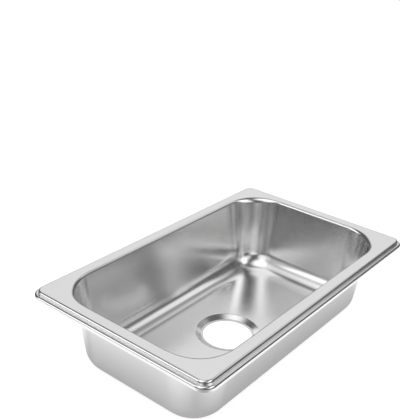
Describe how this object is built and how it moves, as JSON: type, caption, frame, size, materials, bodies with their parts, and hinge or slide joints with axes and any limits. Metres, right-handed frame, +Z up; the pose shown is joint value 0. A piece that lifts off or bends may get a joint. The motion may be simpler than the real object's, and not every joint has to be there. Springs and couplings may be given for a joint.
{
  "type": "drop-in sink",
  "caption": "Small rectangular drop-in sink: a pressed stainless bowl with a stepped rim, rounded corners and a centred drain hole, held down by screw clips under its rim",
  "frame": {"origin": "on the drain's axis, in the plane of the drain recess's underside, which the sink stands on", "axes": "+X along the long sides, -Y is the front, +Z up out of the bowl"},
  "size_m": [0.3964, 0.2404, 0.1008],
  "materials": {
    "stainless": "satin",
    "foam": "matt closed-cell foam",
    "deadening": "matt",
    "zinc_steel": "zinc plated"
  },
  "bodies": {
    "sink": {"bowl": "stainless", "rim_seal": "foam", "left_sound_pad": "deadening", "right_sound_pad": "deadening", "rear_left_lug": "stainless", "rear_left_bolt": "zinc_steel", "rear_right_lug": "stainless", "rear_right_bolt": "zinc_steel", "front_left_lug": "stainless", "front_left_bolt": "zinc_steel", "front_right_lug": "stainless", "front_right_bolt": "zinc_steel"},
    "rear_left_washer": {"rear_left_washer": "zinc_steel"},
    "rear_left_claw": {"rear_left_claw": "zinc_steel"},
    "rear_left_nut": {"rear_left_nut": "zinc_steel"},
    "rear_right_washer": {"rear_right_washer": "zinc_steel"},
    "rear_right_claw": {"rear_right_claw": "zinc_steel"},
    "rear_right_nut": {"rear_right_nut": "zinc_steel"},
    "front_left_washer": {"front_left_washer": "zinc_steel"},
    "front_left_claw": {"front_left_claw": "zinc_steel"},
    "front_left_nut": {"front_left_nut": "zinc_steel"},
    "front_right_washer": {"front_right_washer": "zinc_steel"},
    "front_right_claw": {"front_right_claw": "zinc_steel"},
    "front_right_nut": {"front_right_nut": "zinc_steel"}
  },
  "joints": [
    {"name": "rear_left_clamp_rise", "type": "slide", "parent": "sink", "child": "rear_left_washer", "axis": [0, 0, 1], "range_m": [0, 0.0063]},
    {"name": "rear_left_claw_swing", "type": "hinge", "parent": "rear_left_washer", "child": "rear_left_claw", "pos_m": [-0.09, 0.10691, 0.0823], "axis": [0, 0, 1], "range_deg": [0, 180]},
    {"name": "rear_left_nut_turn", "type": "hinge", "parent": "rear_left_washer", "child": "rear_left_nut", "pos_m": [-0.09, 0.10691, 0.0783], "axis": [0, 0, 1], "range_deg": [0, 3240]},
    {"name": "rear_right_clamp_rise", "type": "slide", "parent": "sink", "child": "rear_right_washer", "axis": [0, 0, 1], "range_m": [0, 0.0063]},
    {"name": "rear_right_claw_swing", "type": "hinge", "parent": "rear_right_washer", "child": "rear_right_claw", "pos_m": [0.09, 0.10691, 0.0823], "axis": [0, 0, -1], "range_deg": [0, 180]},
    {"name": "rear_right_nut_turn", "type": "hinge", "parent": "rear_right_washer", "child": "rear_right_nut", "pos_m": [0.09, 0.10691, 0.0783], "axis": [0, 0, 1], "range_deg": [0, 3240]},
    {"name": "front_left_clamp_rise", "type": "slide", "parent": "sink", "child": "front_left_washer", "axis": [0, 0, 1], "range_m": [0, 0.0063]},
    {"name": "front_left_claw_swing", "type": "hinge", "parent": "front_left_washer", "child": "front_left_claw", "pos_m": [-0.09, -0.10691, 0.0823], "axis": [0, 0, -1], "range_deg": [0, 180]},
    {"name": "front_left_nut_turn", "type": "hinge", "parent": "front_left_washer", "child": "front_left_nut", "pos_m": [-0.09, -0.10691, 0.0783], "axis": [0, 0, 1], "range_deg": [0, 3240]},
    {"name": "front_right_clamp_rise", "type": "slide", "parent": "sink", "child": "front_right_washer", "axis": [0, 0, 1], "range_m": [0, 0.0063]},
    {"name": "front_right_claw_swing", "type": "hinge", "parent": "front_right_washer", "child": "front_right_claw", "pos_m": [0.09, -0.10691, 0.0823], "axis": [0, 0, 1], "range_deg": [0, 180]},
    {"name": "front_right_nut_turn", "type": "hinge", "parent": "front_right_washer", "child": "front_right_nut", "pos_m": [0.09, -0.10691, 0.0783], "axis": [0, 0, 1], "range_deg": [0, 3240]}
  ],
  "couplings": [
    {"joint": "rear_left_nut_turn", "follows": "rear_left_clamp_rise", "rad_per_m": 8976},
    {"joint": "rear_right_nut_turn", "follows": "rear_right_clamp_rise", "rad_per_m": 8976},
    {"joint": "front_left_nut_turn", "follows": "front_left_clamp_rise", "rad_per_m": 8976},
    {"joint": "front_right_nut_turn", "follows": "front_right_clamp_rise", "rad_per_m": 8976}
  ]
}
